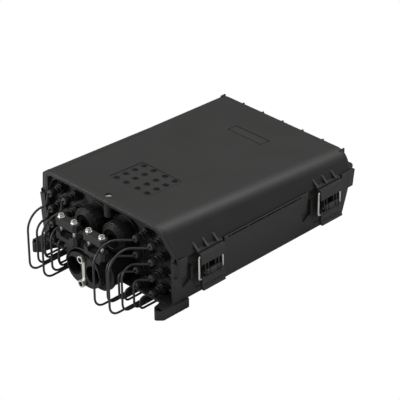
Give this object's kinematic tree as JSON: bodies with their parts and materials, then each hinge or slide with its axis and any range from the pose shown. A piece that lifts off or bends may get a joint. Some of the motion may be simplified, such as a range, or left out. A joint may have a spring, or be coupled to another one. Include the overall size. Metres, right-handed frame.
{
  "type": "outdoor fibre distribution box",
  "caption": "Wall box for fibre optic cable with a hinged hood, two draw latches, capped side ports on lanyards, two cable glands with clamps and an oval port.",
  "frame": {"origin": "on the wall plane, midway between the two front fixing slots", "axes": "+X across towards the latches, +Y along the box from the port end to the far end, +Z away from the wall"},
  "size_m": [0.2621, 0.3884, 0.115],
  "materials": {
    "shell": "moulded black, fine matt grain",
    "port": "moulded black",
    "lanyard": "black, satin",
    "fitting": "moulded black",
    "latch": "moulded black",
    "rubber": "black rubber",
    "steel": "stainless",
    "tray": "light grey",
    "lid": "frosted"
  },
  "bodies": {
    "base": {"base_tub": "shell", "port_panel": "shell", "cover_gasket": "rubber", "port_sockets_left": "port", "lanyards_left": "lanyard", "lanyard_strip_left": "lanyard", "gland_body_left": "fitting", "gland_seal_left": "rubber", "clamp_lower_left": "fitting", "clamp_upper_left": "fitting", "clamp_screws_left": "steel", "port_sockets_right": "port", "lanyards_right": "lanyard", "lanyard_strip_right": "lanyard", "gland_body_right": "fitting", "gland_seal_right": "rubber", "clamp_lower_right": "fitting", "clamp_upper_right": "fitting", "clamp_screws_right": "steel", "oval_port_housing": "fitting", "oval_port_plate": "fitting", "oval_port_seal": "rubber", "oval_port_strap": "steel", "oval_port_bolts": "steel", "latch_pins": "steel", "hinge_pins": "steel", "inner_plate": "steel", "splice_tray": "tray", "splice_tray_lid": "lid", "splitter_module": "tray"},
    "cover": {"cover": "shell", "cover_screw": "steel"},
    "lever_front": {"latch_lever_front": "latch"},
    "bail_front": {"latch_bail_front": "steel", "latch_hook_front": "latch"},
    "lever_rear": {"latch_lever_rear": "latch"},
    "bail_rear": {"latch_bail_rear": "steel", "latch_hook_rear": "latch"},
    "nut_left": {"gland_nut_left": "fitting"},
    "cap_left_1": {"cap_left_1": "port"},
    "cap_left_2": {"cap_left_2": "port"},
    "cap_left_3": {"cap_left_3": "port"},
    "cap_left_4": {"cap_left_4": "port"},
    "cap_left_5": {"cap_left_5": "port"},
    "cap_left_6": {"cap_left_6": "port"},
    "cap_left_7": {"cap_left_7": "port"},
    "cap_left_8": {"cap_left_8": "port"},
    "nut_right": {"gland_nut_right": "fitting"},
    "cap_right_1": {"cap_right_1": "port"},
    "cap_right_2": {"cap_right_2": "port"},
    "cap_right_3": {"cap_right_3": "port"},
    "cap_right_4": {"cap_right_4": "port"},
    "cap_right_5": {"cap_right_5": "port"},
    "cap_right_6": {"cap_right_6": "port"},
    "cap_right_7": {"cap_right_7": "port"},
    "cap_right_8": {"cap_right_8": "port"}
  },
  "joints": [
    {"name": "cover_hinge", "type": "hinge", "parent": "base", "child": "cover", "pos_m": [-0.127, 0.176, 0.0735], "axis": [0, -1, 0], "range_deg": [0, 110]},
    {"name": "lever_front_hinge", "type": "hinge", "parent": "base", "child": "lever_front", "pos_m": [0.1275, 0.072, 0.045], "axis": [0, -1, 0], "range_deg": [0, 140]},
    {"name": "bail_front_pivot", "type": "hinge", "parent": "lever_front", "child": "bail_front", "pos_m": [0.1275, 0.072, 0.0385], "axis": [0, -1, 0], "range_deg": [-140, 0]},
    {"name": "lever_rear_hinge", "type": "hinge", "parent": "base", "child": "lever_rear", "pos_m": [0.1275, 0.28, 0.045], "axis": [0, -1, 0], "range_deg": [0, 140]},
    {"name": "bail_rear_pivot", "type": "hinge", "parent": "lever_rear", "child": "bail_rear", "pos_m": [0.1275, 0.28, 0.0385], "axis": [0, -1, 0], "range_deg": [-140, 0]},
    {"name": "nut_left_turn", "type": "hinge", "parent": "base", "child": "nut_left", "pos_m": [-0.0246, 0.012, 0.0715], "axis": [0, -1, 0], "continuous": true},
    {"name": "cap_left_1_turn", "type": "hinge", "parent": "base", "child": "cap_left_1", "pos_m": [-0.063, 0.017, 0.0205], "axis": [0, -1, 0], "range_deg": [0, 90]},
    {"name": "cap_left_2_turn", "type": "hinge", "parent": "base", "child": "cap_left_2", "pos_m": [-0.063, 0.017, 0.0425], "axis": [0, -1, 0], "range_deg": [0, 90]},
    {"name": "cap_left_3_turn", "type": "hinge", "parent": "base", "child": "cap_left_3", "pos_m": [-0.063, 0.017, 0.0645], "axis": [0, -1, 0], "range_deg": [0, 90]},
    {"name": "cap_left_4_turn", "type": "hinge", "parent": "base", "child": "cap_left_4", "pos_m": [-0.063, 0.017, 0.0865], "axis": [0, -1, 0], "range_deg": [0, 90]},
    {"name": "cap_left_5_turn", "type": "hinge", "parent": "base", "child": "cap_left_5", "pos_m": [-0.089, 0.017, 0.0205], "axis": [0, -1, 0], "range_deg": [0, 90]},
    {"name": "cap_left_6_turn", "type": "hinge", "parent": "base", "child": "cap_left_6", "pos_m": [-0.089, 0.017, 0.0425], "axis": [0, -1, 0], "range_deg": [0, 90]},
    {"name": "cap_left_7_turn", "type": "hinge", "parent": "base", "child": "cap_left_7", "pos_m": [-0.089, 0.017, 0.0645], "axis": [0, -1, 0], "range_deg": [0, 90]},
    {"name": "cap_left_8_turn", "type": "hinge", "parent": "base", "child": "cap_left_8", "pos_m": [-0.089, 0.017, 0.0865], "axis": [0, -1, 0], "range_deg": [0, 90]},
    {"name": "nut_right_turn", "type": "hinge", "parent": "base", "child": "nut_right", "pos_m": [0.0246, 0.012, 0.0715], "axis": [0, -1, 0], "continuous": true},
    {"name": "cap_right_1_turn", "type": "hinge", "parent": "base", "child": "cap_right_1", "pos_m": [0.063, 0.017, 0.0205], "axis": [0, -1, 0], "range_deg": [0, 90]},
    {"name": "cap_right_2_turn", "type": "hinge", "parent": "base", "child": "cap_right_2", "pos_m": [0.063, 0.017, 0.0425], "axis": [0, -1, 0], "range_deg": [0, 90]},
    {"name": "cap_right_3_turn", "type": "hinge", "parent": "base", "child": "cap_right_3", "pos_m": [0.063, 0.017, 0.0645], "axis": [0, -1, 0], "range_deg": [0, 90]},
    {"name": "cap_right_4_turn", "type": "hinge", "parent": "base", "child": "cap_right_4", "pos_m": [0.063, 0.017, 0.0865], "axis": [0, -1, 0], "range_deg": [0, 90]},
    {"name": "cap_right_5_turn", "type": "hinge", "parent": "base", "child": "cap_right_5", "pos_m": [0.089, 0.017, 0.0205], "axis": [0, -1, 0], "range_deg": [0, 90]},
    {"name": "cap_right_6_turn", "type": "hinge", "parent": "base", "child": "cap_right_6", "pos_m": [0.089, 0.017, 0.0425], "axis": [0, -1, 0], "range_deg": [0, 90]},
    {"name": "cap_right_7_turn", "type": "hinge", "parent": "base", "child": "cap_right_7", "pos_m": [0.089, 0.017, 0.0645], "axis": [0, -1, 0], "range_deg": [0, 90]},
    {"name": "cap_right_8_turn", "type": "hinge", "parent": "base", "child": "cap_right_8", "pos_m": [0.089, 0.017, 0.0865], "axis": [0, -1, 0], "range_deg": [0, 90]}
  ],
  "couplings": [
    {"joint": "bail_front_pivot", "follows": "lever_front_hinge", "ratio": -1},
    {"joint": "bail_rear_pivot", "follows": "lever_rear_hinge", "ratio": -1}
  ]
}
